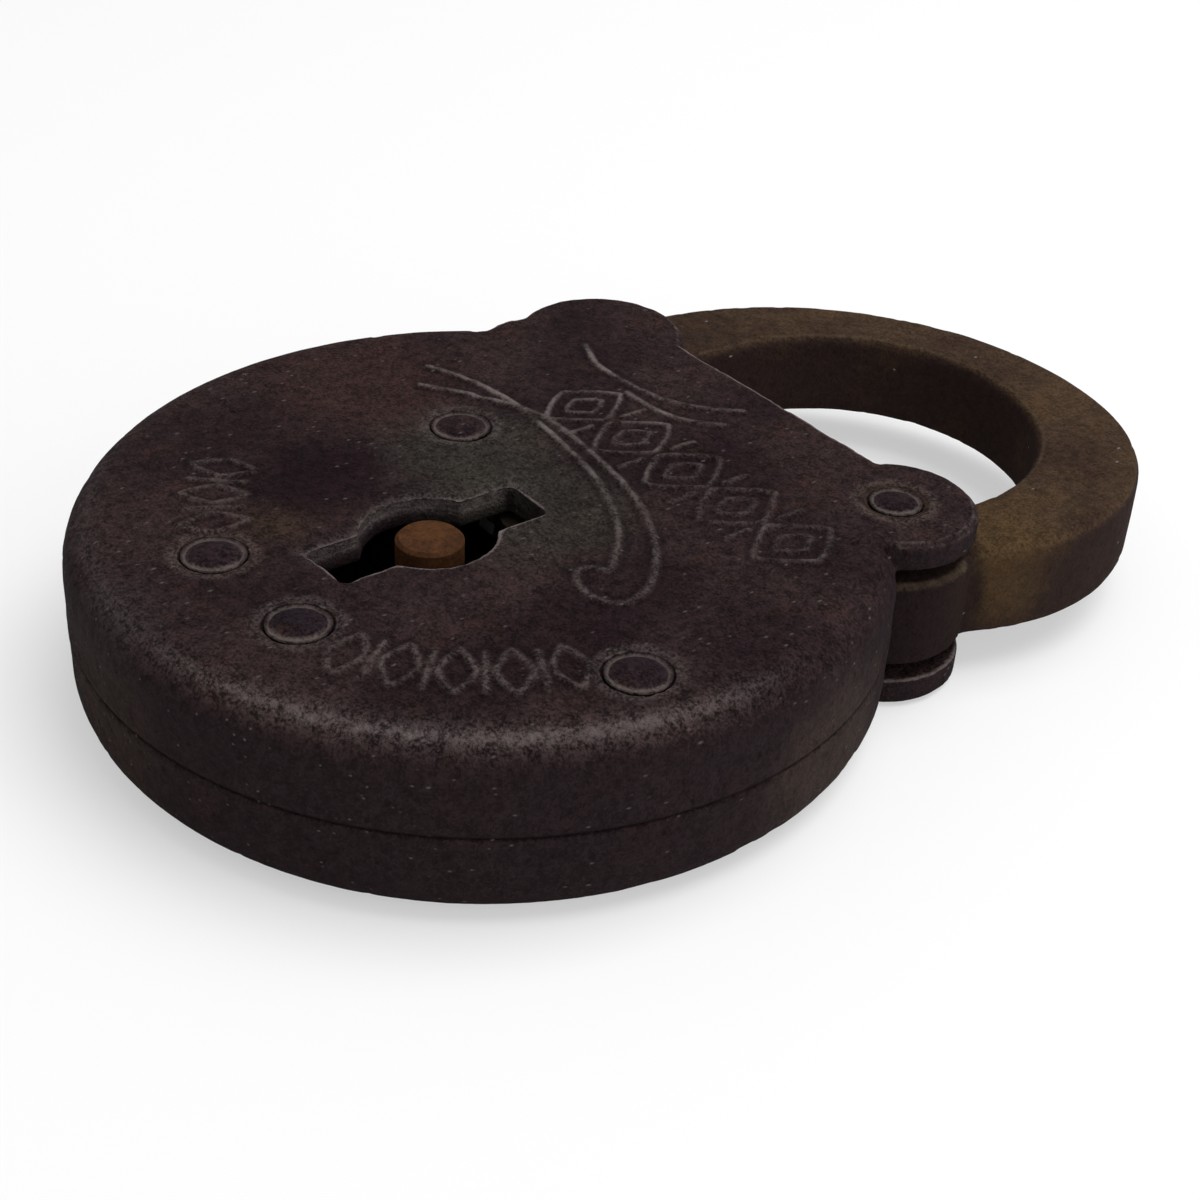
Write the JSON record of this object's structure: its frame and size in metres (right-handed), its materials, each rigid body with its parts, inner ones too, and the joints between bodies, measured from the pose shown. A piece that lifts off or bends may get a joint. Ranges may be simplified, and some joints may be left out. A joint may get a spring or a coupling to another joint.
{
  "type": "padlock",
  "caption": "Round flat lever padlock with a swinging bar shackle, riveted two-piece case and a keyhole with a centre post, rusted all over.",
  "frame": {"origin": "on the back face, under the centre of the round case; the lock lies on its back", "axes": "+Z out of the keyhole side, +Y from the case to the shackle, +X to the right seen from the keyhole side"},
  "size_m": [0.06, 0.0873, 0.0144],
  "materials": {
    "case_iron": "dark purplish brown rusted iron, fine pitting, worn greyer on the rim and round the keyhole",
    "shackle_iron": "olive brown rusted iron, darker on its inner side, ochre near the pivot",
    "rivet_iron": "dark rusted rivet heads with a worn crown",
    "post_bronze": "dull orange brown bronze, worn on top",
    "bolt_brass": "dull tarnished brass",
    "lever_brass": "dull stamped brass sheet",
    "spring_steel": "blued spring steel with light rust",
    "pin_steel": "turned steel with light rust"
  },
  "bodies": {
    "case": {"front_shell": "case_iron", "back_shell": "case_iron", "pivot_rivet": "rivet_iron", "upper_rivet": "rivet_iron", "left_rivet": "rivet_iron", "bottom_rivet": "rivet_iron", "right_rivet": "rivet_iron", "key_post": "post_bronze", "lever_pin": "pin_steel"},
    "shackle": {"shackle": "shackle_iron"},
    "bolt": {"lock_bolt": "bolt_brass", "bolt_stump": "pin_steel"},
    "lever_1": {"lever_1": "lever_brass", "lever_spring_1": "spring_steel"},
    "lever_2": {"lever_2": "lever_brass", "lever_spring_2": "spring_steel"},
    "lever_3": {"lever_3": "lever_brass", "lever_spring_3": "spring_steel"},
    "lever_4": {"lever_4": "lever_brass", "lever_spring_4": "spring_steel"},
    "lever_5": {"lever_5": "lever_brass", "lever_spring_5": "spring_steel"},
    "lever_6": {"lever_6": "lever_brass", "lever_spring_6": "spring_steel"}
  },
  "joints": [
    {"name": "shackle_swing", "type": "hinge", "parent": "case", "child": "shackle", "pos_m": [0.0167, 0.0248, 0.0071], "axis": [0, 0, -1], "range_deg": [-5, 60]},
    {"name": "bolt_slide", "type": "slide", "parent": "case", "child": "bolt", "axis": [-1, 0, 0], "range_m": [0, 0.0035]},
    {"name": "lever_1_lift", "type": "hinge", "parent": "case", "child": "lever_1", "pos_m": [0.013, 0.0095, 0.0071], "axis": [0, 0, -1], "range_deg": [0, 3.18], "deforming": ["lever_spring_1"]},
    {"name": "lever_2_lift", "type": "hinge", "parent": "case", "child": "lever_2", "pos_m": [0.013, 0.0095, 0.0071], "axis": [0, 0, -1], "range_deg": [0, 4.38], "deforming": ["lever_spring_2"]},
    {"name": "lever_3_lift", "type": "hinge", "parent": "case", "child": "lever_3", "pos_m": [0.013, 0.0095, 0.0071], "axis": [0, 0, -1], "range_deg": [0, 3.67], "deforming": ["lever_spring_3"]},
    {"name": "lever_4_lift", "type": "hinge", "parent": "case", "child": "lever_4", "pos_m": [0.013, 0.0095, 0.0071], "axis": [0, 0, -1], "range_deg": [0, 4.94], "deforming": ["lever_spring_4"]},
    {"name": "lever_5_lift", "type": "hinge", "parent": "case", "child": "lever_5", "pos_m": [0.013, 0.0095, 0.0071], "axis": [0, 0, -1], "range_deg": [0, 3.88], "deforming": ["lever_spring_5"]},
    {"name": "lever_6_lift", "type": "hinge", "parent": "case", "child": "lever_6", "pos_m": [0.013, 0.0095, 0.0071], "axis": [0, 0, -1], "range_deg": [0, 4.66], "deforming": ["lever_spring_6"]}
  ],
  "couplings": [
    {"joint": "lever_1_lift", "follows": "bolt_slide", "rad_per_m": 15.824},
    {"joint": "lever_2_lift", "follows": "bolt_slide", "rad_per_m": 21.802},
    {"joint": "lever_3_lift", "follows": "bolt_slide", "rad_per_m": 18.286},
    {"joint": "lever_4_lift", "follows": "bolt_slide", "rad_per_m": 24.615},
    {"joint": "lever_5_lift", "follows": "bolt_slide", "rad_per_m": 19.341},
    {"joint": "lever_6_lift", "follows": "bolt_slide", "rad_per_m": 23.209}
  ]
}
